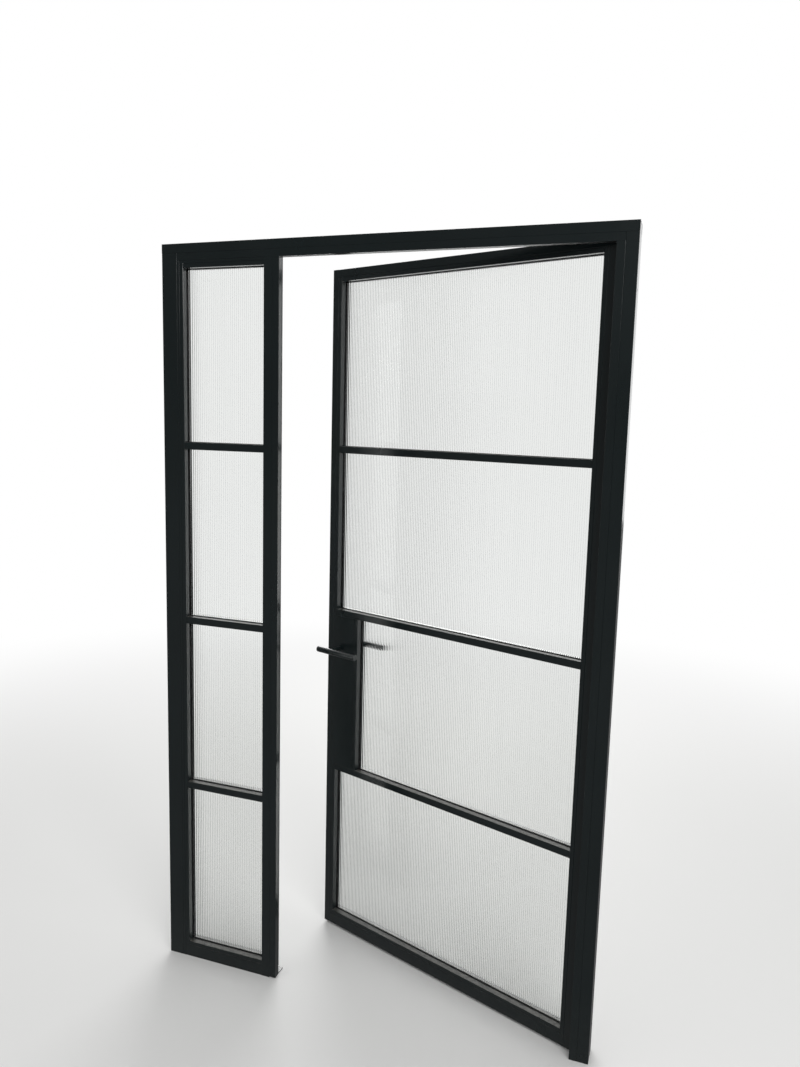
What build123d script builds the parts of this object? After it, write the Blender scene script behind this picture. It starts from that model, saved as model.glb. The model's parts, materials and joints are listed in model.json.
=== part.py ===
import math
import os

from build123d import *

os.makedirs("parts", exist_ok=True)

# A steel-framed glazed door with a fixed sidelight beside it, in millimetres.
# X = 0 is the outer face of the hinge jamb and the door set runs to -X, Y = 0 is the middle
# of the frame's depth with the room in front at -Y, and Z = 0 is the middle of the fixings.
leaf_width = 890
leaf_height = 2064
sidelight_width = 268
fixing_height = 1050
floor_gap = 8
edge_gap = 3
ajar_angle = 19

# Frame tubes and the stops that the leaf closes against
frame_depth = 60
left_jamb_width = 47
hinge_jamb_width = 30
head_width = 25
post_width = 25
tube_wall = 2
tube_corner = 1
stop_width = 20
stop_depth = 17
stop_corner = 0.6
seal_width = 9
seal_squeeze = 0.4
seal_corner = 1

# Glazing sections, the same in the leaf and the sidelight
section_depth = 40
bead_width = 12
bead_depth = 17
bead_corner = 0.8
bead_wall = 1.5
gasket_thickness = 1.5
gasket_lip = 1.2
glass_thickness = 6
glass_clearance = 3
reed_pitch = 6
reed_rise = 0.6
stile_web = 22
leaf_sill_web = 34
sidelight_web = 8
sidelight_sill_web = 36
bar_width = 20
bar_web = 5
bar_wall = 2
bar_clearance = 2
pane_count = 4
sidelight_bar_rise = 6

# Lock box, lock and levers
box_width = 85
cover_thickness = 2
upright_thickness = 3
spindle_backset = 53
spindle_drop = 100
spindle_size = 8
spindle_depth = 17
case_thickness = 16
case_wall = 1.5
case_height = 160
case_below = 70
case_reach = 30
case_slack = 0.2
forend_width = 20
forend_height = 190
forend_thickness = 3
forend_screw_spacing = 140
latch_thickness = 12
latch_height = 20
latch_throw = 10
latch_bevel = 9
latch_rise = 24
latch_length = 24
latch_slack = 0.2
hook_thickness = 5
hook_drop = 14
finger_reach = 17.4
finger_width = 7
finger_play = 0.5
hub_radius = 11
boss_radius = 8
running_clearance = 0.05
collar_radius = 10
collar_thickness = 3
neck_radius = 6
neck_slack = 0.5
lever_standoff = 55
lever_radius = 9
lever_front = 44
lever_back = 108
lever_chamfer = 1
groove_setback = 1.5
groove_width = 2
groove_depth = 1
socket_depth = 30

# Strike plate and its screws
strike_width = 22
strike_height = 120
strike_thickness = 1.2
strike_corner = 3
strike_clearance = 2
screw_spacing = 90
screw_radius = 2
screw_head_radius = 3.4
screw_length = 9

# Hinges
hinge_count = 3
hinge_end_distance = 230
barrel_radius = 8
barrel_length = 46
barrel_offset = 8.5
barrel_dome = 2
pin_radius = 4
washer_thickness = 1.5
washer_gap = 0.2
wing_width = 24
wing_thickness = 3

# Foot plate under the post, and the fixings through the frame
foot_thickness = 3
foot_tab = 18
foot_depth = 34
foot_hole_radius = 2.6
fixing_hole_radius = 3.5
outer_fixing_spacing = 1800
middle_fixing_spacing = 600
head_fixing_spacing = 500
left_fixing_depth = 20

# Positions across the door set
hinge_jamb_inner = -hinge_jamb_width
leaf_hinge_edge = hinge_jamb_inner - edge_gap
leaf_lock_edge = leaf_hinge_edge - leaf_width
post_right = leaf_lock_edge - edge_gap
post_left = post_right - post_width
left_jamb_inner = post_left - sidelight_width
left_face = left_jamb_inner - left_jamb_width

# Heights, and depths from front to back
floor = -fixing_height
leaf_bottom = floor + floor_gap
leaf_top = leaf_bottom + leaf_height
head_underside = leaf_top + edge_gap
frame_top = head_underside + head_width
stop_underside = head_underside - stop_width
front = -frame_depth / 2
back = frame_depth / 2
leaf_near = back - section_depth
stop_back = front + stop_depth
seal_thickness = leaf_near - stop_back - seal_squeeze

# Depths inside a glazing section, from its near face
glass_near = bead_depth + gasket_thickness
glass_far = glass_near + glass_thickness
rebate_depth = glass_far + gasket_thickness
flange_depth = section_depth - rebate_depth
bead_cover = bead_width - glass_clearance
bar_cover = (bar_width - bar_web) / 2 - bar_clearance

# Visible glass of the leaf and of the sidelight
leaf_day_left = leaf_lock_edge + stile_web + bead_width
leaf_day_right = leaf_hinge_edge - stile_web - bead_width
leaf_day_bottom = leaf_bottom + leaf_sill_web + bead_width
leaf_day_top = leaf_top - stile_web - bead_width
side_day_left = left_jamb_inner + sidelight_web + bead_width
side_day_bottom = floor + sidelight_sill_web + bead_width
side_day_top = stop_underside - sidelight_web - bead_width
pane_height = (leaf_day_top - leaf_day_bottom - (pane_count - 1) * bar_width) / pane_count
bar_bottoms = [leaf_day_bottom + pane_height + i * (pane_height + bar_width)
               for i in range(pane_count - 1)]
side_bar_bottoms = [bottom + sidelight_bar_rise for bottom in bar_bottoms]

# The lock box fills the leading end of the light between the two lower bars
box_left = leaf_lock_edge + stile_web
box_right = box_left + box_width
box_bottom = bar_bottoms[0] + bar_width
box_top = bar_bottoms[1]
box_day_left = box_right + bead_width
spindle_x = leaf_lock_edge + spindle_backset
spindle_z = box_top - spindle_drop
spindle_y = leaf_near + spindle_depth
latch_z = spindle_z + latch_rise
case_left = leaf_lock_edge + forend_thickness
case_right = spindle_x + case_reach
case_bottom = spindle_z - case_below
case_middle = case_bottom + case_height / 2

# The hinge line stands off the far faces, over the gap between jamb and leaf
hinge_x = hinge_jamb_inner - edge_gap / 2
hinge_y = back + barrel_offset
hinge_line = Axis((hinge_x, hinge_y, 0), (0, 0, 1))
hinge_rise = (leaf_height - 2 * hinge_end_distance) / (hinge_count - 1)
hinge_middles = [leaf_bottom + hinge_end_distance + i * hinge_rise for i in range(hinge_count)]

near = Vector(0, 1, 0)
toward_hinge = Vector(1, 0, 0)
upward = Vector(0, 0, 1)
downward = Vector(0, 0, -1)


def section_plane(x, y, z, inward):
    """Plane whose local x runs towards the glass and local y runs away from the viewer."""
    return Plane(origin=(x, y, z), x_dir=inward, z_dir=inward.cross(near))


def rounded_tube(width, depth):
    """Rolled tube with one corner at the origin."""
    with BuildSketch() as section:
        RectangleRounded(width, depth, tube_corner, align=(Align.MIN, Align.MIN))
        offset(amount=-tube_wall, kind=Kind.INTERSECTION, mode=Mode.SUBTRACT)
    return section.sketch


def glazing_outline(web, hand=1, rounded=True):
    """Rebated section: a web of the given width and a far flange behind the glass edge."""
    web_edge = hand * web
    flange_edge = hand * (web + bead_width)
    with BuildSketch() as section:
        with BuildLine():
            Polyline((0, 0), (web_edge, 0), (web_edge, rebate_depth), (flange_edge, rebate_depth),
                     (flange_edge, section_depth), (0, section_depth), close=True)
        make_face()
        if rounded:
            outer_corners = section.vertices().group_by(Axis.Y)[0]
            outer_corners += section.vertices().group_by(Axis.Y)[-1]
            fillet(outer_corners, tube_corner)
    return section.sketch


def glazing_section(web, hand=1):
    """The rebated section as a hollow rolled profile."""
    inner_web = hand * (web - tube_wall)
    inner_flange = hand * (web + bead_width - tube_wall)
    inner_edge = hand * tube_wall
    inner_rebate = rebate_depth + tube_wall
    inner_depth = section_depth - tube_wall
    with BuildSketch() as section:
        add(glazing_outline(web, hand))
        with BuildLine():
            Polyline((inner_edge, tube_wall), (inner_web, tube_wall), (inner_web, inner_rebate),
                     (inner_flange, inner_rebate), (inner_flange, inner_depth),
                     (inner_edge, inner_depth), close=True)
        make_face(mode=Mode.SUBTRACT)
    return section.sketch


def bead_section(width):
    """Glazing bead or cap strip: a slim box with its two near edges eased."""
    with BuildSketch() as section:
        Rectangle(width, bead_depth, align=(Align.MIN, Align.MIN))
        near_corners = section.vertices().group_by(Axis.Y)[0]
        chamfer(near_corners, bead_corner)
        with Locations((bead_wall, bead_wall)):
            Rectangle(width - 2 * bead_wall, bead_depth - 2 * bead_wall,
                      align=(Align.MIN, Align.MIN), mode=Mode.SUBTRACT)
    return section.sketch


def run(plane, section, length):
    """Length of a section from its plane."""
    with BuildPart() as piece:
        with BuildSketch(plane):
            add(section)
        extrude(amount=length)
    return piece.part


def group(pieces):
    """Separate solids of one kind, kept together as one set."""
    return Compound([piece.solid() for piece in pieces])


def block(x, y, z):
    """Box between the given low and high values on each axis."""
    with BuildPart() as piece:
        with BuildSketch(Plane.XY.offset(z[0])):
            with Locations((x[0], y[0])):
                Rectangle(x[1] - x[0], y[1] - y[0], align=(Align.MIN, Align.MIN))
        extrude(amount=z[1] - z[0])
    return piece.part


def glass_pane(left, right, bottom, top, near_face):
    """Sheet of reeded glass, flat on the near face and ribbed upright on the far one."""
    crest = near_face + glass_thickness
    base = crest - reed_rise
    reeds = round((right - left) / reed_pitch)
    pitch = (right - left) / reeds
    with BuildPart() as pane:
        with BuildSketch(Plane.XY.offset(bottom)):
            with BuildLine():
                Polyline((left, base), (left, near_face), (right, near_face), (right, base))
                for i in range(reeds):
                    start = left + i * pitch
                    Polyline((start, base), (start + pitch / 3, crest),
                             (start + 2 * pitch / 3, crest), (start + pitch, base))
            make_face()
        extrude(amount=top - bottom)
    return pane.part


def gasket_ring(left, right, bottom, top, y, day):
    """Flat rubber ring round a pane, reaching a little past the metal into the daylight."""
    with BuildPart() as ring:
        with BuildSketch(Plane.XZ.offset(-y)):
            with Locations(((left + right) / 2, (bottom + top) / 2)):
                Rectangle(right - left, top - bottom)
            with Locations(((day[0] + day[1]) / 2, (day[2] + day[3]) / 2)):
                Rectangle(day[1] - day[0] - 2 * gasket_lip, day[3] - day[2] - 2 * gasket_lip,
                          mode=Mode.SUBTRACT)
        extrude(amount=-gasket_thickness)
    return ring.part


def glazing_bar(left, right, web_left, web_right, bottom, near_face):
    """Tee bar: a hollow flange behind the panes and a web between their edges."""
    middle = bottom + bar_width / 2
    with BuildPart() as bar:
        with BuildSketch(section_plane(left, near_face + rebate_depth, middle, downward)):
            Rectangle(bar_width, flange_depth, align=(Align.CENTER, Align.MIN))
            offset(amount=-bar_wall, kind=Kind.INTERSECTION, mode=Mode.SUBTRACT)
        extrude(amount=right - left)
        with BuildSketch(section_plane(web_left, near_face + bead_depth, middle, downward)):
            Rectangle(bar_web, rebate_depth - bead_depth, align=(Align.CENTER, Align.MIN))
        extrude(amount=web_right - web_left)
    return bar.part


def countersunk_screw(length):
    """Screw along -Z with its flat head flush at Z = 0."""
    head_depth = screw_head_radius - screw_radius
    with BuildPart() as screw:
        with BuildSketch(Plane.XZ):
            with BuildLine():
                Polyline((0, 0), (screw_head_radius, 0), (screw_radius, -head_depth),
                         (screw_radius, -length), (0, -length), close=True)
            make_face()
        revolve(axis=Axis.Z)
    return screw.part


frame_pieces = {}
leaf_pieces = {}
handle_pieces = {}

# Frame tubes. The head lies over both jambs, and the post stands on its foot plate.
with BuildPart() as hinge_jamb:
    add(run(section_plane(-hinge_jamb_width, front, floor, toward_hinge),
            rounded_tube(hinge_jamb_width, frame_depth), head_underside - floor))
    with BuildSketch(Plane.YZ):
        for spacing in (outer_fixing_spacing, middle_fixing_spacing):
            with GridLocations(0, spacing, 1, 2):
                Circle(fixing_hole_radius)
    extrude(amount=-hinge_jamb_width, mode=Mode.SUBTRACT)
frame_pieces["hinge_jamb"] = hinge_jamb.part

with BuildPart() as left_jamb:
    add(run(section_plane(left_face, front, floor, toward_hinge),
            rounded_tube(left_jamb_width, frame_depth), head_underside - floor))
    with BuildSketch(Plane.YZ.offset(left_face)):
        for spacing in (outer_fixing_spacing, middle_fixing_spacing):
            with Locations((left_fixing_depth, 0)):
                with GridLocations(0, spacing, 1, 2):
                    Circle(fixing_hole_radius)
    extrude(amount=left_jamb_width, mode=Mode.SUBTRACT)
frame_pieces["left_jamb"] = left_jamb.part

head_middle = (post_right + hinge_jamb_inner) / 2
with BuildPart() as head_rail:
    add(run(section_plane(left_face, front, frame_top, downward),
            rounded_tube(head_width, frame_depth), -left_face))
    with BuildSketch(Plane.XY.offset(frame_top)):
        with Locations((head_middle, 0)):
            with GridLocations(head_fixing_spacing, 0, 2, 1):
                Circle(fixing_hole_radius)
    extrude(amount=-head_width, mode=Mode.SUBTRACT)
frame_pieces["head_rail"] = head_rail.part

frame_pieces["sidelight_head_rail"] = run(
    section_plane(left_jamb_inner, front, head_underside, downward),
    rounded_tube(stop_width, frame_depth), sidelight_width)

# The post is a tube with a channel rolled into its left side for the sidelight glass
strike_hole_width = latch_thickness + strike_clearance
strike_hole_height = latch_height + strike_clearance
strike_face = post_right + strike_thickness
with BuildPart() as strike_screws:
    with Locations(Plane(origin=(strike_face, spindle_y, latch_z), x_dir=(0, 1, 0),
                         z_dir=(1, 0, 0))):
        with GridLocations(0, screw_spacing, 1, 2):
            add(countersunk_screw(screw_length))
frame_pieces["strike_screws"] = strike_screws.part

with BuildPart() as post:
    with BuildSketch(section_plane(post_left, front, floor + foot_thickness, toward_hinge)):
        with BuildLine():
            Polyline((0, 0), (post_width, 0), (post_width, frame_depth), (0, frame_depth),
                     (0, rebate_depth), (bead_cover + gasket_thickness, rebate_depth),
                     (bead_cover + gasket_thickness, bead_depth), (0, bead_depth), close=True)
        make_face()
        offset(amount=-tube_wall, kind=Kind.INTERSECTION, mode=Mode.SUBTRACT)
    extrude(amount=head_underside - floor - foot_thickness)
    with BuildSketch(Plane.YZ.offset(post_right)):
        with Locations((spindle_y, latch_z)):
            Rectangle(strike_hole_width, strike_hole_height)
    extrude(amount=-tube_wall, mode=Mode.SUBTRACT)
    add(strike_screws.part, mode=Mode.SUBTRACT)
frame_pieces["post"] = post.part

with BuildPart() as post_foot_plate:
    with BuildSketch(Plane.XY.offset(floor)):
        with Locations((post_left, front)):
            Rectangle(post_width, frame_depth, align=(Align.MIN, Align.MIN))
        with Locations((post_right, stop_back)):
            Rectangle(foot_tab, foot_depth, align=(Align.MIN, Align.MIN))
        with Locations((post_right + foot_tab / 2, stop_back + foot_depth / 2)):
            Circle(foot_hole_radius, mode=Mode.SUBTRACT)
    extrude(amount=foot_thickness)
frame_pieces["post_foot_plate"] = post_foot_plate.part


def stop_section():
    """Flat bar with its free edges eased."""
    with BuildSketch() as section:
        RectangleRounded(stop_width, stop_depth, stop_corner, align=(Align.MIN, Align.MIN))
    return section.sketch


frame_pieces["hinge_jamb_stop"] = run(
    section_plane(hinge_jamb_inner - stop_width, front, floor, toward_hinge),
    stop_section(), stop_underside - floor)
frame_pieces["post_stop"] = run(
    section_plane(post_right, front, floor + foot_thickness, toward_hinge),
    stop_section(), stop_underside - floor - foot_thickness)
frame_pieces["head_stop"] = run(
    section_plane(post_right, front, head_underside, downward),
    stop_section(), hinge_jamb_inner - post_right)

# One rubber strip runs up the back of one stop, along the head and down the other
seal_left = post_right + stop_width - seal_width
seal_right = hinge_jamb_inner - stop_width + seal_width
seal_top = stop_underside + seal_width
seal_foot = floor + foot_thickness
with BuildPart() as door_seal:
    with BuildSketch(Plane.XZ.offset(-stop_back)):
        with BuildLine():
            Polyline((seal_left, seal_foot), (seal_left, seal_top), (seal_right, seal_top),
                     (seal_right, seal_foot), (seal_right - seal_width, seal_foot),
                     (seal_right - seal_width, stop_underside),
                     (seal_left + seal_width, stop_underside),
                     (seal_left + seal_width, seal_foot), close=True)
        make_face()
    extrude(amount=-seal_thickness)
    far_face = door_seal.faces().sort_by(Axis.Y)[-1]
    chamfer(far_face.edges(), seal_corner)
frame_pieces["door_seal"] = door_seal.part

# Sidelight frame: the upright angle runs to the floor and the others are cut to fit it
side_angle_plane = section_plane(left_jamb_inner, front, floor, toward_hinge)
side_angle_length = stop_underside - floor
frame_pieces["sidelight_side_angle"] = run(
    side_angle_plane, glazing_section(sidelight_web), side_angle_length)
side_angle_envelope = run(
    side_angle_plane, glazing_outline(sidelight_web, rounded=False), side_angle_length)

with BuildPart() as sidelight_top_angle:
    add(run(section_plane(left_jamb_inner, front, stop_underside, downward),
            glazing_section(sidelight_web), sidelight_width))
    add(side_angle_envelope, mode=Mode.SUBTRACT)
frame_pieces["sidelight_top_angle"] = sidelight_top_angle.part

with BuildPart() as sidelight_bottom_rail:
    add(run(section_plane(post_left, front, floor, upward),
            glazing_section(sidelight_sill_web), sidelight_width))
    add(side_angle_envelope, mode=Mode.SUBTRACT)
frame_pieces["sidelight_bottom_rail"] = sidelight_bottom_rail.part

for i, bottom in enumerate(side_bar_bottoms):
    frame_pieces[f"sidelight_bar_{i + 1}"] = glazing_bar(
        side_day_left, post_left, left_jamb_inner + sidelight_web, post_left, bottom, front)


def panes_and_gaskets(lights, near_face):
    """Panes for a stack of lights, and the near and far gasket rings of each."""
    panes = []
    rings = []
    for day, cover in lights:
        left = day[0] - cover[0]
        right = day[1] + cover[1]
        bottom = day[2] - cover[2]
        top = day[3] + cover[3]
        panes.append(glass_pane(left, right, bottom, top, near_face + glass_near))
        for y in (near_face + bead_depth, near_face + glass_far):
            rings.append(gasket_ring(left, right, bottom, top, y, day))
    return panes, rings


def stack_of_lights(left, right, bottom, top, bottoms):
    """Daylight box of each pane from the bottom up, and how far the pane runs past each side."""
    lights = []
    for i in range(pane_count):
        day_bottom = bottom if i == 0 else bottoms[i - 1] + bar_width
        day_top = top if i == pane_count - 1 else bottoms[i]
        lower = bead_cover if i == 0 else bar_cover
        upper = bead_cover if i == pane_count - 1 else bar_cover
        lights.append(((left, right, day_bottom, day_top),
                       (bead_cover, bead_cover, lower, upper)))
    return lights


side_lights = stack_of_lights(side_day_left, post_left, side_day_bottom, side_day_top,
                              side_bar_bottoms)
side_panes, side_rings = panes_and_gaskets(side_lights, front)
for i, pane in enumerate(side_panes):
    frame_pieces[f"sidelight_pane_{i + 1}"] = pane
frame_pieces["sidelight_gaskets"] = group(side_rings)

# Upright beads run past the ends of the level ones and of the cap strips
side_upright_bead = run(
    section_plane(left_jamb_inner + sidelight_web, front, side_day_bottom - bead_width,
                  toward_hinge),
    bead_section(bead_width), side_day_top - side_day_bottom + 2 * bead_width)
side_top_bead = run(
    section_plane(side_day_left, front, side_day_top + bead_width, downward),
    bead_section(bead_width), post_left - side_day_left)
side_bottom_bead = run(
    section_plane(post_left, front, side_day_bottom - bead_width, upward),
    bead_section(bead_width), post_left - side_day_left)
frame_pieces["sidelight_beads"] = group([side_upright_bead, side_top_bead, side_bottom_bead])
frame_pieces["sidelight_bar_caps"] = group([
    run(section_plane(side_day_left, front, bottom + bar_width, downward),
        bead_section(bar_width), post_left - side_day_left)
    for bottom in side_bar_bottoms])

with BuildPart() as strike_plate:
    with BuildSketch(Plane.YZ.offset(post_right)):
        with Locations((spindle_y, latch_z)):
            RectangleRounded(strike_width, strike_height, strike_corner)
            Rectangle(strike_hole_width, strike_hole_height, mode=Mode.SUBTRACT)
    extrude(amount=strike_thickness)
    add(strike_screws.part, mode=Mode.SUBTRACT)
frame_pieces["strike_plate"] = strike_plate.part


def hinge_half(bottom, direction, bore, domed_top):
    """Barrel of a weld-on hinge with the wing that is welded to a far face."""
    with BuildPart() as half:
        with BuildSketch(Plane.XY.offset(bottom)):
            with Locations((hinge_x, hinge_y)):
                Circle(barrel_radius)
        extrude(amount=barrel_length)
        end = half.faces().sort_by(Axis.Z)[-1 if domed_top else 0]
        chamfer(end.edges(), barrel_dome)
        with BuildSketch(Plane.XY.offset(bottom)):
            with Locations((hinge_x, back)):
                Rectangle(wing_width, wing_thickness,
                          align=(Align.MIN if direction > 0 else Align.MAX, Align.MIN))
        extrude(amount=barrel_length)
        with BuildSketch(Plane.XY.offset(bottom)):
            with Locations((hinge_x, hinge_y)):
                Circle(bore)
        extrude(amount=barrel_length, mode=Mode.SUBTRACT)
    return half.part


pins = []
washers = []
for i, middle in enumerate(hinge_middles):
    lower_bottom = middle - barrel_length - washer_thickness / 2
    washer_bottom = lower_bottom + barrel_length
    upper_bottom = washer_bottom + washer_thickness + washer_gap
    frame_pieces[f"frame_hinge_half_{i + 1}"] = hinge_half(lower_bottom, 1, pin_radius, False)
    leaf_pieces[f"leaf_hinge_half_{i + 1}"] = hinge_half(
        upper_bottom, -1, pin_radius + running_clearance, True)
    with BuildPart() as pin:
        with BuildSketch(Plane.XY.offset(lower_bottom)):
            with Locations((hinge_x, hinge_y)):
                Circle(pin_radius)
        extrude(amount=upper_bottom + barrel_length - lower_bottom)
    pins.append(pin.part)
    with BuildPart() as washer:
        with BuildSketch(Plane.XY.offset(washer_bottom)):
            with Locations((hinge_x, hinge_y)):
                Circle(barrel_radius)
                Circle(pin_radius, mode=Mode.SUBTRACT)
        extrude(amount=washer_thickness)
    washers.append(washer.part)
frame_pieces["hinge_pins"] = group(pins)
frame_pieces["hinge_washers"] = group(washers)

# Leaf, modelled shut. The stiles run full height and the rails are cut to fit them.
hinge_stile_plane = section_plane(leaf_hinge_edge, leaf_near, leaf_bottom, toward_hinge)
lock_stile_plane = section_plane(leaf_lock_edge, leaf_near, leaf_bottom, toward_hinge)
leaf_pieces["hinge_stile"] = run(hinge_stile_plane, glazing_section(stile_web, hand=-1),
                                 leaf_height)
stile_envelopes = [
    run(hinge_stile_plane, glazing_outline(stile_web, hand=-1, rounded=False), leaf_height),
    run(lock_stile_plane, glazing_outline(stile_web, rounded=False), leaf_height)]

forend_box = block((leaf_lock_edge, leaf_lock_edge + forend_thickness),
                   (spindle_y - forend_width / 2, spindle_y + forend_width / 2),
                   (case_middle - forend_height / 2, case_middle + forend_height / 2))
with BuildPart() as lock_stile:
    add(run(lock_stile_plane, glazing_section(stile_web), leaf_height))
    add(forend_box, mode=Mode.SUBTRACT)
    add(block((case_left, box_left),
              (spindle_y - case_thickness / 2, spindle_y + case_thickness / 2),
              (case_bottom, case_bottom + case_height)), mode=Mode.SUBTRACT)
leaf_pieces["lock_stile"] = lock_stile.part

with BuildPart() as leaf_top_rail:
    add(run(section_plane(leaf_lock_edge, leaf_near, leaf_top, downward),
            glazing_section(stile_web), leaf_width))
    add(stile_envelopes, mode=Mode.SUBTRACT)
leaf_pieces["leaf_top_rail"] = leaf_top_rail.part

with BuildPart() as leaf_bottom_rail:
    add(run(section_plane(leaf_hinge_edge, leaf_near, leaf_bottom, upward),
            glazing_section(leaf_sill_web), leaf_width))
    add(stile_envelopes, mode=Mode.SUBTRACT)
leaf_pieces["leaf_bottom_rail"] = leaf_bottom_rail.part

for i, bottom in enumerate(bar_bottoms):
    leaf_pieces[f"leaf_bar_{i + 1}"] = glazing_bar(
        leaf_day_left, leaf_day_right, leaf_lock_edge + stile_web, leaf_hinge_edge - stile_web,
        bottom, leaf_near)

leaf_lights = stack_of_lights(leaf_day_left, leaf_day_right, leaf_day_bottom, leaf_day_top,
                              bar_bottoms)
lock_light = leaf_lights[1]
leaf_lights[1] = ((box_day_left,) + lock_light[0][1:], lock_light[1])
leaf_panes, leaf_rings = panes_and_gaskets(leaf_lights, leaf_near)
for i, pane in enumerate(leaf_panes):
    leaf_pieces[f"leaf_pane_{i + 1}"] = pane
leaf_pieces["leaf_gaskets"] = group(leaf_rings)


def upright_bead(x, bottom, top):
    """Upright bead whose edge against the metal lies at x, on the lock side of its light."""
    return run(section_plane(x, leaf_near, bottom, toward_hinge),
               bead_section(bead_width), top - bottom)


level_bead_length = leaf_day_right - leaf_day_left
leaf_pieces["leaf_beads"] = group([
    upright_bead(leaf_day_left - bead_width, leaf_day_bottom - bead_width, box_bottom),
    upright_bead(leaf_day_left - bead_width, box_top, leaf_day_top + bead_width),
    upright_bead(box_right, box_bottom, box_top),
    upright_bead(leaf_day_right, leaf_day_bottom - bead_width, leaf_day_top + bead_width),
    run(section_plane(leaf_day_left, leaf_near, leaf_day_top + bead_width, downward),
        bead_section(bead_width), level_bead_length),
    run(section_plane(leaf_day_right, leaf_near, leaf_day_bottom - bead_width, upward),
        bead_section(bead_width), level_bead_length)])
leaf_pieces["leaf_bar_caps"] = group([
    run(section_plane(leaf_day_left, leaf_near, bottom + bar_width, downward),
        bead_section(bar_width), level_bead_length)
    for bottom in bar_bottoms])

# Lock box: flush covers on both faces and a folded upright that carries the glass edge
spindle_plane = Plane.XZ.offset(-leaf_near)
far_cover_near = back - cover_thickness
with BuildPart() as near_lock_cover:
    with BuildSketch(spindle_plane):
        with Locations((box_left, box_bottom)):
            Rectangle(box_width, box_top - box_bottom, align=(Align.MIN, Align.MIN))
        with Locations((spindle_x, spindle_z)):
            Circle(neck_radius + neck_slack, mode=Mode.SUBTRACT)
    extrude(amount=-cover_thickness)
leaf_pieces["near_lock_cover"] = near_lock_cover.part

with BuildPart() as far_lock_cover:
    with BuildSketch(Plane.XZ.offset(-far_cover_near)):
        with Locations((leaf_day_left, box_bottom)):
            Rectangle(box_right - upright_thickness - leaf_day_left, box_top - box_bottom,
                      align=(Align.MIN, Align.MIN))
        with Locations((spindle_x, spindle_z)):
            Circle(neck_radius + neck_slack, mode=Mode.SUBTRACT)
    extrude(amount=-cover_thickness)
leaf_pieces["far_lock_cover"] = far_lock_cover.part

with BuildPart() as lock_box_upright:
    with BuildSketch(section_plane(box_right, leaf_near, box_bottom, toward_hinge)):
        with BuildLine():
            Polyline((-upright_thickness, cover_thickness), (0, cover_thickness),
                     (0, rebate_depth), (bead_width, rebate_depth),
                     (bead_width, section_depth), (-upright_thickness, section_depth),
                     close=True)
        make_face()
    extrude(amount=box_top - box_bottom)
leaf_pieces["lock_box_upright"] = lock_box_upright.part

# Lock case behind its forend, with room inside for the follower and the latch
case_near = spindle_y - case_thickness / 2
case_far = spindle_y + case_thickness / 2
latch_hole_height = latch_height + 2 * latch_slack
latch_hole_width = latch_thickness + 2 * latch_slack
with BuildPart() as lock_case:
    add(block((case_left, case_right), (case_near + case_slack, case_far - case_slack),
              (case_bottom + case_slack, case_bottom + case_height - case_slack)))
    add(block((case_left + case_wall, case_right - case_wall),
              (case_near + case_slack + case_wall, case_far - case_slack - case_wall),
              (case_bottom + case_slack + case_wall,
               case_bottom + case_height - case_slack - case_wall)), mode=Mode.SUBTRACT)
    with BuildSketch(Plane.YZ.offset(case_left)):
        with Locations((spindle_y, latch_z)):
            Rectangle(latch_hole_width, latch_hole_height)
        with Locations((spindle_y, case_middle)):
            with GridLocations(0, forend_screw_spacing, 1, 2):
                Circle(screw_radius)
    extrude(amount=case_wall, mode=Mode.SUBTRACT)
    with BuildSketch(Plane.XZ.offset(-case_near)):
        with Locations((spindle_x, spindle_z)):
            Circle(boss_radius + running_clearance)
    extrude(amount=-case_thickness, mode=Mode.SUBTRACT)
leaf_pieces["lock_case"] = lock_case.part

screw_plane = Plane(origin=(leaf_lock_edge, spindle_y, case_middle), x_dir=(0, -1, 0),
                    z_dir=(-1, 0, 0))
with BuildPart() as forend:
    add(forend_box)
    with BuildSketch(Plane.YZ.offset(leaf_lock_edge)):
        with Locations((spindle_y, latch_z)):
            Rectangle(latch_hole_width, latch_hole_height)
    extrude(amount=forend_thickness, mode=Mode.SUBTRACT)
    with Locations(screw_plane):
        with GridLocations(0, forend_screw_spacing, 1, 2):
            add(countersunk_screw(screw_length), mode=Mode.SUBTRACT)
leaf_pieces["forend"] = forend.part

with BuildPart() as forend_screws:
    with Locations(screw_plane):
        with GridLocations(0, forend_screw_spacing, 1, 2):
            add(countersunk_screw(screw_length))
leaf_pieces["forend_screws"] = forend_screws.part

# Collars seat on the covers and guide the lever necks
with BuildPart() as lever_collars:
    for y in (leaf_near, back + collar_thickness):
        with BuildSketch(Plane.XZ.offset(-y)):
            with Locations((spindle_x, spindle_z)):
                Circle(collar_radius)
                Circle(neck_radius + running_clearance, mode=Mode.SUBTRACT)
        extrude(amount=collar_thickness)
leaf_pieces["lever_collars"] = lever_collars.part


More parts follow.
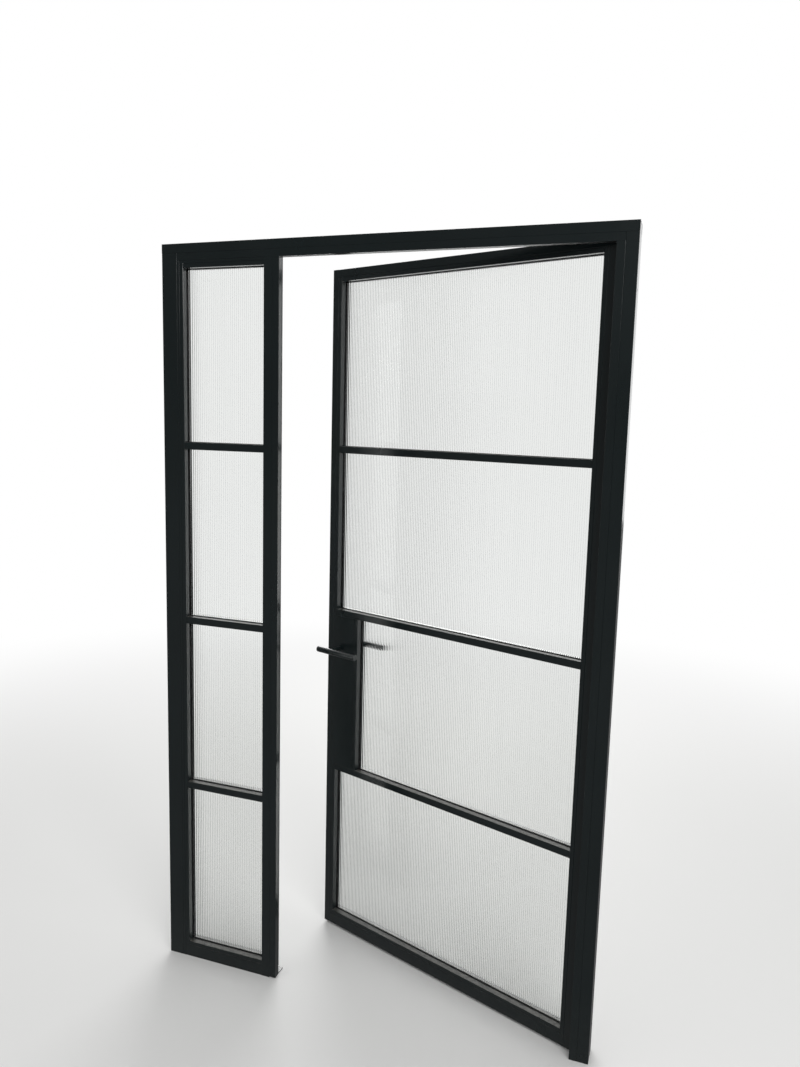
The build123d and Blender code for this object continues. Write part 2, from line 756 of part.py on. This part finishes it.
def lever(side, collar_face, case_face):
    """Straight tee lever: a turned bar across the end of a round neck."""
    bar_y = collar_face + side * lever_standoff
    groove_end = -neck_radius - groove_setback
    groove_start = groove_end - groove_width
    rim = lever_radius - lever_chamfer
    groove_radius = lever_radius - groove_depth
    with BuildPart() as piece:
        with BuildSketch(Plane.XZ.offset(-bar_y)):
            with BuildLine(Plane(origin=(spindle_x, spindle_z))):
                Polyline((-lever_front, 0), (-lever_front, rim),
                         (lever_chamfer - lever_front, lever_radius),
                         (groove_start, lever_radius), (groove_start, groove_radius),
                         (groove_end, groove_radius), (groove_end, lever_radius),
                         (lever_back - lever_chamfer, lever_radius), (lever_back, rim),
                         (lever_back, 0), close=True)
            make_face()
        revolve(axis=Axis((spindle_x, bar_y, spindle_z), (1, 0, 0)))
        with BuildSketch(Plane.XZ.offset(-max(case_face, bar_y))):
            with Locations((spindle_x, spindle_z)):
                Circle(neck_radius)
        extrude(amount=abs(case_face - bar_y))
        with BuildSketch(Plane.XZ.offset(-case_face)):
            with Locations((spindle_x, spindle_z)):
                Rectangle(spindle_size, spindle_size)
        extrude(amount=-side * socket_depth, mode=Mode.SUBTRACT)
    return piece.part


handle_pieces["near_lever"] = lever(-1, leaf_near, case_near)
handle_pieces["far_lever"] = lever(1, back, case_far)

with BuildPart() as spindle:
    with BuildSketch(Plane.XZ.offset(-(case_near - socket_depth))):
        with Locations((spindle_x, spindle_z)):
            Rectangle(spindle_size, spindle_size)
    extrude(amount=-(case_thickness + 2 * socket_depth))
handle_pieces["spindle"] = spindle.part

# Follower: its bosses turn in the case and its finger draws the latch back
hub_thickness = case_thickness - 2 * (case_wall + 2 * case_slack)
with BuildPart() as follower:
    with BuildSketch(Plane.XZ.offset(-(spindle_y + hub_thickness / 2))):
        with Locations((spindle_x, spindle_z)):
            Circle(hub_radius)
            SlotCenterToCenter(2 * finger_reach, finger_width, rotation=90)
            with Locations((0, -finger_reach)):
                Rectangle(2 * finger_width, 2 * finger_reach, mode=Mode.SUBTRACT)
            Circle(hub_radius)
    extrude(amount=hub_thickness)
    with BuildSketch(Plane.XZ.offset(-case_far)):
        with Locations((spindle_x, spindle_z)):
            Circle(boss_radius)
    extrude(amount=case_thickness)
    with BuildSketch(Plane.XZ.offset(-case_far)):
        with Locations((spindle_x, spindle_z)):
            Rectangle(spindle_size, spindle_size)
    extrude(amount=case_thickness, mode=Mode.SUBTRACT)
handle_pieces["follower"] = follower.part

# Latch bolt: a bevelled head, a tail over the finger and a hook behind it
latch_tip = leaf_lock_edge - latch_throw
head_end = latch_tip + latch_length
hook_near = spindle_x + finger_width / 2 + finger_play
tail_bottom = latch_z - latch_height / 2 + hook_drop
with BuildPart() as latch_bolt:
    with BuildSketch(Plane.XZ.offset(-(spindle_y + latch_thickness / 2))):
        with BuildLine():
            Polyline((latch_tip, latch_z - latch_height / 2),
                     (head_end, latch_z - latch_height / 2), (head_end, tail_bottom),
                     (hook_near, tail_bottom), (hook_near, latch_z - latch_height / 2),
                     (hook_near + hook_thickness, latch_z - latch_height / 2),
                     (hook_near + hook_thickness, latch_z + latch_height / 2),
                     (latch_tip, latch_z + latch_height / 2), close=True)
        make_face()
    extrude(amount=latch_thickness)
    tip_edge = latch_bolt.edges().filter_by(Axis.Z).group_by(Axis.X)[0].sort_by(Axis.Y)[0]
    chamfer(tip_edge, latch_bevel)
latch = latch_bolt.part

for label, piece in frame_pieces.items():
    piece.label = label
    export_step(piece, f"parts/{label}.step")

# Everything on the leaf swings with it to the angle that it stands at
swinging_pieces = {**leaf_pieces, **handle_pieces, "latch_bolt": latch}
for label, piece in swinging_pieces.items():
    swung = piece.rotate(hinge_line, -ajar_angle, transform=True)
    swung.label = label
    export_step(swung, f"parts/{label}.step")
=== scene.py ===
import json
import math

import bmesh
import bpy
from mathutils import Matrix, Vector


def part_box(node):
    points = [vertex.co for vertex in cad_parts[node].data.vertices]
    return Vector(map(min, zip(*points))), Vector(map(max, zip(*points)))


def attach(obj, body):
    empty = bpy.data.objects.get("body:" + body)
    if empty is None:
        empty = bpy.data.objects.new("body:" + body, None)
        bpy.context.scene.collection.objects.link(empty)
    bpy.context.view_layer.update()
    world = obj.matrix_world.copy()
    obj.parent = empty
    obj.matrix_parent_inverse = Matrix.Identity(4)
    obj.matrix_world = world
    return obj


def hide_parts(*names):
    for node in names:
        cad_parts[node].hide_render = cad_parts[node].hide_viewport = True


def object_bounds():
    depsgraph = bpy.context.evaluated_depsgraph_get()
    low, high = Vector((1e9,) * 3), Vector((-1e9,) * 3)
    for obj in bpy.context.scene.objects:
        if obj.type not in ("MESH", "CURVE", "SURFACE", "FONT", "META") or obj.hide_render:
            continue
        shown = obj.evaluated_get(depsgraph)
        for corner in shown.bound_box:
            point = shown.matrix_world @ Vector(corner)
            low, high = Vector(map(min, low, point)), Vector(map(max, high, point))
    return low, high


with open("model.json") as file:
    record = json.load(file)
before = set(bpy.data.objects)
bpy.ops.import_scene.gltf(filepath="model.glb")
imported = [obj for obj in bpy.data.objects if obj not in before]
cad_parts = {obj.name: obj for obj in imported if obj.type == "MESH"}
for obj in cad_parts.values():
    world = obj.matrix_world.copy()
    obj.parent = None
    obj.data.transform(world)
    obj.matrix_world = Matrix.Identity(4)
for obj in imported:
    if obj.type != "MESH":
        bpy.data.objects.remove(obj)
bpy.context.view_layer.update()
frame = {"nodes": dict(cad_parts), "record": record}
nodes = frame["nodes"]
bodies = frame["record"]["behaviour"]["bodies"]
print("frame loaded")

leafTurn = math.radians(19)          # how far the leaf stands open

# the photograph's own viewpoint
view = {
    "place": (0.1444, -2.0277, 0.5910),
    "yaw": 19.235,                   # degrees towards the sidelight
    "pitch": 7.843,                  # degrees down
    "roll": -1.484,
    "focalPixels": 826.8,
    "pictureHeight": 1067,           # in the same pixels
    "sensor": 36.0,
    "reach": 60,                     # metres that the camera sees
}


def aimCamera():
    yaw, pitch, roll = (math.radians(view[key]) for key in ("yaw", "pitch", "roll"))
    ahead = Vector((-math.sin(yaw), math.cos(yaw), 0))
    right = Vector((math.cos(yaw), math.sin(yaw), 0))
    down = Vector((0, 0, -1))
    aim = ahead * math.cos(pitch) + down * math.sin(pitch)
    low = down * math.cos(pitch) - ahead * math.sin(pitch)
    side = right * math.cos(roll) + low * math.sin(roll)
    foot = low * math.cos(roll) - right * math.sin(roll)
    turn = Matrix((side, -foot, -aim)).transposed()
    data = bpy.data.cameras.new("doorCamera")
    data.sensor_fit = "VERTICAL"
    data.sensor_height = view["sensor"]
    data.lens = view["focalPixels"] / view["pictureHeight"] * view["sensor"]
    data.clip_end = view["reach"]
    camera = bpy.data.objects.new("doorCamera", data)
    camera.matrix_world = Matrix.Translation(view["place"]) @ turn.to_4x4()
    bpy.context.scene.collection.objects.link(camera)
    bpy.context.scene.camera = camera


aimCamera()
print("camera placed")


def newMaterial(name):
    material = bpy.data.materials.new(name)
    material.use_nodes = True
    tree = material.node_tree
    return material, tree, tree.nodes["Principled BSDF"]


def addNode(tree, kind, **values):
    node = tree.nodes.new(kind)
    for key, value in values.items():
        setattr(node, key, value)
    return node


def objectPoint(tree, scale=(1, 1, 1), turn=0.0):
    # a pattern's own place: Object coordinates, turned with the leaf and scaled
    place = addNode(tree, "ShaderNodeTexCoord")
    mapping = addNode(tree, "ShaderNodeMapping")
    mapping.inputs["Rotation"].default_value = (0, 0, turn)
    mapping.inputs["Scale"].default_value = scale
    tree.links.new(place.outputs["Object"], mapping.inputs["Vector"])
    return mapping.outputs["Vector"]


def splitPoint(tree, point):
    # the point's or direction's X, Y and Z
    node = addNode(tree, "ShaderNodeSeparateXYZ")
    tree.links.new(point, node.inputs[0])
    return node.outputs


def noise(tree, point, scale, detail, roughness=0.5):
    node = addNode(tree, "ShaderNodeTexNoise")
    node.inputs["Scale"].default_value = scale
    node.inputs["Detail"].default_value = detail
    node.inputs["Roughness"].default_value = roughness
    tree.links.new(point, node.inputs["Vector"])
    return node.outputs["Fac"]


def spread(tree, value, low, high, fromLow=0.3, fromHigh=0.7):
    # a value spread between two limits
    node = addNode(tree, "ShaderNodeMapRange")
    node.inputs["From Min"].default_value = fromLow
    node.inputs["From Max"].default_value = fromHigh
    node.inputs["To Min"].default_value = low
    node.inputs["To Max"].default_value = high
    tree.links.new(value, node.inputs["Value"])
    return node.outputs["Result"]


def mathNode(tree, operation, first, second=0):
    node = addNode(tree, "ShaderNodeMath", operation=operation)
    for socket, value in zip(node.inputs, (first, second)):
        if isinstance(value, (int, float)):
            socket.default_value = value
        else:
            tree.links.new(value, socket)
    return node.outputs[0]


def mixColour(tree, amount, first, second):
    # the node's sockets for colours are 6, 7 and, going out, 2
    node = addNode(tree, "ShaderNodeMix", data_type="RGBA")
    tree.links.new(amount, node.inputs["Factor"])
    for socket, value in ((node.inputs[6], first), (node.inputs[7], second)):
        if isinstance(value, tuple):
            socket.default_value = value + (1.0,)
        else:
            tree.links.new(value, socket)
    return node.outputs[2]


def mixShader(tree, amount, first, second):
    node = addNode(tree, "ShaderNodeMixShader")
    tree.links.new(amount, node.inputs["Fac"])
    tree.links.new(first.outputs[0], node.inputs[1])
    tree.links.new(second.outputs[0], node.inputs[2])
    return node


def bump(tree, shader, height, distance):
    node = addNode(tree, "ShaderNodeBump")
    node.inputs["Distance"].default_value = distance
    node.inputs["Strength"].default_value = 1.0
    tree.links.new(height, node.inputs["Height"])
    tree.links.new(node.outputs["Normal"], shader.inputs["Normal"])


def meshObject(name, shape, material):
    # an object made of the shape, in the scene
    mesh = bpy.data.meshes.new(name)
    shape.to_mesh(mesh)
    shape.free()
    mesh.materials.append(material)
    piece = bpy.data.objects.new(name, mesh)
    bpy.context.scene.collection.objects.link(piece)
    return piece


def pushFace(shape, way):
    # the shape's only face pushed along, so that it becomes a closed solid
    pushed = bmesh.ops.extrude_face_region(shape, geom=shape.faces[:], use_keep_orig=True)["geom"]
    corners = [item for item in pushed if isinstance(item, bmesh.types.BMVert)]
    bmesh.ops.translate(shape, vec=way, verts=corners)
    bmesh.ops.recalc_face_normals(shape, faces=shape.faces[:])


def extentAlong(piece, turn):
    # lowest and highest corners, measured along the leaf or the frame
    straight = Matrix.Rotation(turn, 4, "Z")
    corners = [straight @ vert.co for vert in piece.data.vertices]
    return (Vector([min(corner[axis] for corner in corners) for axis in range(3)]),
            Vector([max(corner[axis] for corner in corners) for axis in range(3)]))


# black powder coat, on every steel section
# a noise is its scale, detail and roughness, and a reach is the part of it that is used
coat = {
    "colour": (0.0020, 0.0066, 0.0073),
    "worn": (0.0042, 0.0096, 0.0106),
    "wear": (2.3, 4.0, 0.6),
    "sheen": (0.26, 0.38),           # roughness, lowest and highest
    "wipes": (9, 5, 0.6),
    "wipeStretch": (1, 1, 0.25),
    "gloss": 0.4,
    "skin": 0.9,                     # the smooth skin over the powder, and its roughness
    "skinRoughness": 0.16,
    "peel": (1400.0, 2, 0.5),        # grain of the sprayed powder
    "peelDepth": 0.00003,
}
# dust lies on the faces that look up, where it also stands as a painted highlight along the ledges, and
# is kicked up along the floor
dustAndLedgeShine = {
    "colour": (0.290, 0.275, 0.245),
    "ledgeDustAndShine": 0.36,
    "lookingUp": (0.6, 0.95),        # from where a face counts as a ledge, and fully so
    "nearFloor": 0.030,
    "kickedTo": (-1.06, -0.86),      # heights between which that dust thins out
    "onTop": 0.15,                   # the share of a ledge's dust and painted highlight that stays high up
    "highUp": (0.75, 0.95),          # heights between which it falls to that share
    "specks": (60, 6, 0.75),
    "speckReach": (0.35, 0.62),
    "speckDepth": (0.25, 1.0),       # least and most of the dust in a speck
}


def dustAndLedgeHighlight(tree, point, dusty):
    facing = splitPoint(tree, addNode(tree, "ShaderNodeNewGeometry").outputs["True Normal"])
    height = splitPoint(tree, point)["Z"]
    # faces that look up get dust, and with it a painted highlight that lightens the ledges
    ledgeDustAndHighlight = spread(tree, facing["Z"], 0, dustAndLedgeShine["ledgeDustAndShine"] * dusty, *dustAndLedgeShine["lookingUp"])
    shareByHeight = spread(tree, height, 1, dustAndLedgeShine["onTop"], *dustAndLedgeShine["highUp"])
    ledgeDustAndHighlight = mathNode(tree, "MULTIPLY", ledgeDustAndHighlight, shareByHeight)
    kicked = spread(tree, height, dustAndLedgeShine["nearFloor"] * dusty, 0, *dustAndLedgeShine["kickedTo"])
    specks = spread(tree, noise(tree, point, *dustAndLedgeShine["specks"]), *dustAndLedgeShine["speckDepth"], *dustAndLedgeShine["speckReach"])
    return mathNode(tree, "MULTIPLY", mathNode(tree, "MAXIMUM", ledgeDustAndHighlight, kicked), specks)


def blackCoat(name, turn, dusty=1.0):
    material, tree, shader = newMaterial(name)
    point = objectPoint(tree, turn=turn)
    wear = spread(tree, noise(tree, point, *coat["wear"]), 0, 1)
    colour = mixColour(tree, wear, coat["colour"], coat["worn"])
    # dust, together with the painted ledge highlight, lightens the coat
    colour = mixColour(tree, dustAndLedgeHighlight(tree, point, dusty), colour, dustAndLedgeShine["colour"])
    tree.links.new(colour, shader.inputs["Base Color"])
    wipe = noise(tree, objectPoint(tree, coat["wipeStretch"], turn), *coat["wipes"])
    tree.links.new(spread(tree, wipe, *coat["sheen"]), shader.inputs["Roughness"])
    shader.inputs["Specular IOR Level"].default_value = coat["gloss"]
    shader.inputs["Coat Weight"].default_value = coat["skin"]
    shader.inputs["Coat Roughness"].default_value = coat["skinRoughness"]
    bump(tree, shader, noise(tree, point, *coat["peel"]), coat["peelDepth"])
    return material


# the seals, the steel of the lock and the hinge pins, and the brass of the hinge washers
rubber = {
    "colour": (0.010, 0.010, 0.011),
    "faded": (0.020, 0.020, 0.021),
    "fading": (14, 4),
    "roughness": (0.55, 0.75),
    "rubbed": (60, 3),
    "grain": (700, 2),
    "grainDepth": 0.00004,
}
steel = {"colour": (0.50, 0.50, 0.485), "dull": (0.36, 0.36, 0.35), "roughness": (0.22, 0.38)}
brass = {"colour": (0.70, 0.52, 0.25), "dull": (0.46, 0.33, 0.15), "roughness": (0.25, 0.42)}
brush = {"stretch": (1, 1, 60), "streaks": (40, 4, 0.6), "depth": 0.00002}


def softRubber(name, turn):
    material, tree, shader = newMaterial(name)
    point = objectPoint(tree, turn=turn)
    faded = spread(tree, noise(tree, point, *rubber["fading"]), 0, 1)
    tree.links.new(mixColour(tree, faded, rubber["colour"], rubber["faded"]),
                   shader.inputs["Base Color"])
    rubbed = noise(tree, point, *rubber["rubbed"])
    tree.links.new(spread(tree, rubbed, *rubber["roughness"]), shader.inputs["Roughness"])
    bump(tree, shader, noise(tree, point, *rubber["grain"]), rubber["grainDepth"])
    return material


def brushedMetal(name, turn, metal):
    material, tree, shader = newMaterial(name)
    streak = noise(tree, objectPoint(tree, brush["stretch"], turn), *brush["streaks"])
    tree.links.new(mixColour(tree, spread(tree, streak, 0, 1), metal["dull"], metal["colour"]),
                   shader.inputs["Base Color"])
    tree.links.new(spread(tree, streak, *metal["roughness"]), shader.inputs["Roughness"])
    shader.inputs["Metallic"].default_value = 1.0
    bump(tree, shader, streak, brush["depth"])
    return material


# each material slot's finish: its name, what makes it, and what that is told
slotFinishes = {
    "black_steel": ("blackCoat", blackCoat, {}),
    "black_lever": ("leverCoat", blackCoat, {"dusty": 0.0}),     # hands keep it clean, so it gets neither dust nor the painted ledge highlight
    "black_rubber": ("softRubber", softRubber, {}),
    "lock_steel": ("brushedSteel", brushedMetal, {"metal": steel}),
    "hinge_brass": ("turnedBrass", brushedMetal, {"metal": brass}),
}
finishes = {}


def finishFor(slot, onLeaf):
    label, make, values = slotFinishes[slot]
    name = label + ("Leaf" if onLeaf else "Frame")
    if name not in finishes:
        finishes[name] = make(name, leafTurn if onLeaf else 0.0, **values)
    return finishes[name]


# glass reeded on its far side
glass = {
    "reedPitch": 0.006,
    "reedRise": 0.0006,
    "reedSteps": 8,                  # flats that round off one reed
    "joinWithin": 1e-6,              # corners of two reeds this near are one
    "sharpFrom": 25,                 # degrees at which an edge of the pane stays sharp
    "tint": (0.85, 0.862, 0.85),
    "paintedValleyShade": (0.73, 0.75, 0.74),    # painted shade where two reeds meet
    "paintedValleyShadeReach": (0.30, 0.5),      # in pitches from the middle of a reed
    "streaks": (95, 3, 0.6),
    "streakStretch": (1, 1, 0.02),
    "streakReach": (0.35, 0.65),
    "streakDepth": (0.35, 1.0),      # how deep the painted valley shade is, least and most
    "haze": (30, 4, 0.6),
    "hazeStretch": (1, 1, 0.1),
    "hazeRoughness": (0.01, 0.035),
    "bendLight": 1.52,
}


def reededGlass(name, left, pitch, turn):
    material, tree, shader = newMaterial(name)
    across = splitPoint(tree, objectPoint(tree, turn=turn))["X"]
    reeds = mathNode(tree, "DIVIDE", mathNode(tree, "SUBTRACT", across, left), pitch)
    place = mathNode(tree, "SUBTRACT", mathNode(tree, "FRACT", reeds), 0.5)
    # painted shade: the glass's colour is darker where two reeds meet, unevenly along streaks
    paintedValleyShade = spread(tree, mathNode(tree, "ABSOLUTE", place), 0, 1, *glass["paintedValleyShadeReach"])
    streaks = noise(tree, objectPoint(tree, glass["streakStretch"], turn), *glass["streaks"])
    unevenValleyShade = spread(tree, streaks, *glass["streakDepth"], *glass["streakReach"])
    amount = mathNode(tree, "MULTIPLY", paintedValleyShade, unevenValleyShade)
    colour = mixColour(tree, amount, glass["tint"], glass["paintedValleyShade"])
    tree.links.new(colour, shader.inputs["Base Color"])
    haze = noise(tree, objectPoint(tree, glass["hazeStretch"], turn), *glass["haze"])
    tree.links.new(spread(tree, haze, *glass["hazeRoughness"]), shader.inputs["Roughness"])
    shader.inputs["Transmission Weight"].default_value = 1.0
    shader.inputs["IOR"].default_value = glass["bendLight"]
    return material


def drawReeds(shape, low, high, reeds, pitch):
    # an arc from valley to valley over one reed, repeated across the pane
    rise = glass["reedRise"]
    radius = (pitch * pitch / 4 + rise * rise) / (2 * rise)
    arc = 2 * math.asin(pitch / 2 / radius)
    start = shape.verts.new((low.x, high.y - rise, low.z))
    bmesh.ops.spin(shape, geom=[start], cent=(low.x + pitch / 2, high.y - radius, low.z),
                   axis=(0, 0, 1), angle=-arc, steps=glass["reedSteps"])
    bmesh.ops.spin(shape, geom=shape.verts[:] + shape.edges[:], axis=(0, 0, 1), angle=0,
                   dvec=(pitch, 0, 0), steps=reeds - 1, use_duplicate=True)
    bmesh.ops.remove_doubles(shape, verts=shape.verts[:], dist=glass["joinWithin"])


def closeOutline(shape, low):
    # from the last reed back to the first, along the flat near face
    ends = [pick(shape.verts, key=lambda vert: vert.co.x) for pick in (min, max)]
    flat = [shape.verts.new((end.co.x, low.y, low.z)) for end in ends]
    for pair in ((ends[0], flat[0]), flat, (flat[1], ends[1])):
        shape.edges.new(pair)
    bmesh.ops.edgeloop_fill(shape, edges=shape.edges[:])


def makePane(node, turn, body):
    # a pane with rounded reeds, in the place of the CAD one
    low, high = extentAlong(nodes[node], turn)
    reeds = round((high.x - low.x) / glass["reedPitch"])
    pitch = (high.x - low.x) / reeds
    shape = bmesh.new()
    drawReeds(shape, low, high, reeds, pitch)
    closeOutline(shape, low)
    pushFace(shape, (0, 0, high.z - low.z))
    # the reeds are all that faces back, and they are shaded round
    for face in shape.faces:
        face.smooth = face.normal.y > 0.5
    for edge in shape.edges:
        edge.smooth = edge.calc_face_angle(0) < math.radians(glass["sharpFrom"])
    bmesh.ops.rotate(shape, verts=shape.verts[:], cent=(0, 0, 0),
                     matrix=Matrix.Rotation(-turn, 3, "Z"))
    material = reededGlass("reededGlass_" + node, low.x, pitch, turn)
    piece = meshObject("reeded_" + node, shape, material)
    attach(piece, body)
    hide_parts(node)


slots = {part["node"]: part["material_slot"] for part in frame["record"]["subparts"]}
for name, piece in nodes.items():
    onLeaf = name not in bodies["frame"]
    if slots[name] == "reeded_glass":
        makePane(name, leafTurn if onLeaf else 0.0, "leaf" if onLeaf else "frame")
    else:
        piece.data.materials.clear()
        piece.data.materials.append(finishFor(slots[name], onLeaf))
print("panes and finishes made")

# plates welded into the open ends of the head rail and of the leaf's stiles
plate = {
    "wall": 0.002,                   # of the tubes that they fill
    "thickness": 0.002,
    "inset": 0.0003,
    "edge": 0.0004,
    "edgeSteps": 2,
}
# the outline of the leaf's stiles
stile = {
    "web": 0.022,                    # width beside the glass
    "flange": 0.012,                 # behind the glass edge
    "rebate": 0.026,                 # depth from the near face to the flange
}


def makePlate(name, corners, inward, body):
    # the hollow's corners, and the way that leads into the tube
    shape = bmesh.new()
    shape.faces.new([shape.verts.new(corner + inward * plate["inset"]) for corner in corners])
    pushFace(shape, inward * plate["thickness"])
    bmesh.ops.bevel(shape, geom=shape.edges[:], affect="EDGES", offset=plate["edge"],
                    segments=plate["edgeSteps"], profile=0.5, material=-1)
    piece = meshObject(name, shape, finishFor("black_steel", body == "leaf"))
    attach(piece, body)


def capHeadRail():
    wall = plate["wall"]
    low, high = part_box("head_rail")
    front, back = low[1] + wall, high[1] - wall
    foot, top = low[2] + wall, high[2] - wall
    hollow = ((front, foot), (back, foot), (back, top), (front, top))
    for side, outer, inward in (("Left", low[0], 1), ("Right", high[0], -1)):
        corners = [Vector((outer, y, z)) for y, z in hollow]
        makePlate("headEndPlate" + side, corners, Vector((inward, 0, 0)), "frame")


def capStile(side, node):
    low, high = extentAlong(nodes[node], leafTurn)
    outer, toward = (low.x, 1) if side == "Lock" else (high.x, -1)
    wall = plate["wall"]
    web = stile["web"] - wall
    flange = stile["web"] + stile["flange"] - wall
    rebate, depth = stile["rebate"] + wall, high.y - low.y - wall
    hollow = ((wall, wall), (web, wall), (web, rebate), (flange, rebate), (flange, depth), (wall, depth))
    opened = Matrix.Rotation(-leafTurn, 4, "Z")
    for end, level, inward in (("Top", high.z, -1), ("Foot", low.z, 1)):
        corners = [opened @ Vector((outer + toward * x, low.y + y, level)) for x, y in hollow]
        makePlate("stileEndPlate" + side + end, corners, Vector((0, 0, inward)), "leaf")


capHeadRail()
capStile("Lock", "lock_stile")
capStile("Hinge", "hinge_stile")
print("end plates made")

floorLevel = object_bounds()[0][2]
studio = {
    "floor": (0.80, 0.80, 0.79),
    "floorMiddle": (-0.63, 0.6),
    "floorSize": 24.0,
    "floorRoughness": 0.5,
    "fadeMiddle": (-0.63, 0.0),
    "floorFades": (1.6, 4.6),        # metres from there, where the floor turns to plain white
    "fill": 0.62,                    # light on matt surfaces
    "behind": 1.0,                   # what gloss sees behind the door
    "inFront": 0.10,                 # and in front of it
    "glossTurns": (-0.15, 0.35),     # between them, from level in front to level behind
    "floorInGloss": 0.14,            # how bright gloss sees the floor
}
lamps = {
    "backLamp": {"place": (-1.6, 3.2, 1.6), "aim": (-0.6, 0.2, 0.0), "size": (2.4, 1.8), "power": 60},
    "frontLamp": {"place": (1.8, -2.6, 2.2), "aim": (-0.6, 0.0, 0.0), "size": (2.0, 2.0), "power": 60},
}


def seenPlainly(tree, rays):
    # by the camera, also through the glass
    return mathNode(tree, "MAXIMUM", rays.outputs["Is Camera Ray"],
                    rays.outputs["Is Transmission Ray"])


def paleFloor():
    material, tree, shader = newMaterial("paleFloor")
    shader.inputs["Base Color"].default_value = studio["floor"] + (1.0,)
    shader.inputs["Roughness"].default_value = studio["floorRoughness"]
    # far from the door the floor fades to white, and gloss sees it as one plain grey
    place = addNode(tree, "ShaderNodeTexCoord")
    away = addNode(tree, "ShaderNodeVectorMath", operation="DISTANCE")
    tree.links.new(place.outputs["Object"], away.inputs[0])
    away.inputs[1].default_value = (*studio["fadeMiddle"], floorLevel)
    faded = addNode(tree, "ShaderNodeMapRange", interpolation_type="SMOOTHSTEP")
    for socket, distance in zip(("From Min", "From Max"), studio["floorFades"]):
        faded.inputs[socket].default_value = distance
    tree.links.new(away.outputs["Value"], faded.inputs["Value"])
    rays = addNode(tree, "ShaderNodeLightPath")
    white, dim = (addNode(tree, "ShaderNodeEmission") for _ in range(2))
    dim.inputs["Strength"].default_value = studio["floorInGloss"]
    # a ray that passes hazy glass counts as glossy too
    mirrored = mathNode(tree, "GREATER_THAN", rays.outputs["Is Glossy Ray"],
                        rays.outputs["Is Transmission Ray"])
    plain = mixShader(tree, mirrored, shader, dim)
    fade = mathNode(tree, "MULTIPLY", seenPlainly(tree, rays), faded.outputs["Result"])
    mix = mixShader(tree, fade, plain, white)
    tree.links.new(mix.outputs[0], tree.nodes["Material Output"].inputs["Surface"])
    return material


def layFloor():
    shape = bmesh.new()
    bmesh.ops.create_grid(shape, x_segments=1, y_segments=1, size=studio["floorSize"] / 2)
    bmesh.ops.translate(shape, verts=shape.verts, vec=(*studio["floorMiddle"], floorLevel))
    meshObject("studioFloor", shape, paleFloor())


def lightWorld():
    world = bpy.data.worlds.new("studioWorld")
    bpy.context.scene.world = world
    world.use_nodes = True
    tree = world.node_tree
    tree.nodes.clear()
    fill, gloss, plain = (addNode(tree, "ShaderNodeBackground") for _ in range(3))
    for light in (fill, gloss, plain):
        light.inputs["Color"].default_value = (1, 1, 1, 1)
    fill.inputs["Strength"].default_value = studio["fill"]
    # gloss sees white behind the door and a dimmer studio in front of it
    heading = splitPoint(tree, addNode(tree, "ShaderNodeTexCoord").outputs["Generated"])
    level = spread(tree, heading["Y"], studio["inFront"], studio["behind"], *studio["glossTurns"])
    tree.links.new(level, gloss.inputs["Strength"])
    rays = addNode(tree, "ShaderNodeLightPath")
    shine = mixShader(tree, rays.outputs["Is Glossy Ray"], fill, gloss)
    mix = mixShader(tree, seenPlainly(tree, rays), shine, plain)
    out = addNode(tree, "ShaderNodeOutputWorld")
    tree.links.new(mix.outputs[0], out.inputs["Surface"])


def hangLamp(name, place, aim, size, power):
    data = bpy.data.lights.new(name, "AREA")
    data.shape = "RECTANGLE"
    data.size, data.size_y = size
    data.energy = power
    lamp = bpy.data.objects.new(name, data)
    lamp.location = place
    lamp.visible_camera = False
    lamp.visible_transmission = False
    lamp.rotation_euler = (Vector(aim) - Vector(place)).to_track_quat("-Z", "Y").to_euler()
    bpy.context.scene.collection.objects.link(lamp)


layFloor()
lightWorld()
for name, values in lamps.items():
    hangLamp(name, **values)
bpy.context.scene.view_settings.view_transform = "Standard"
print("stage set")
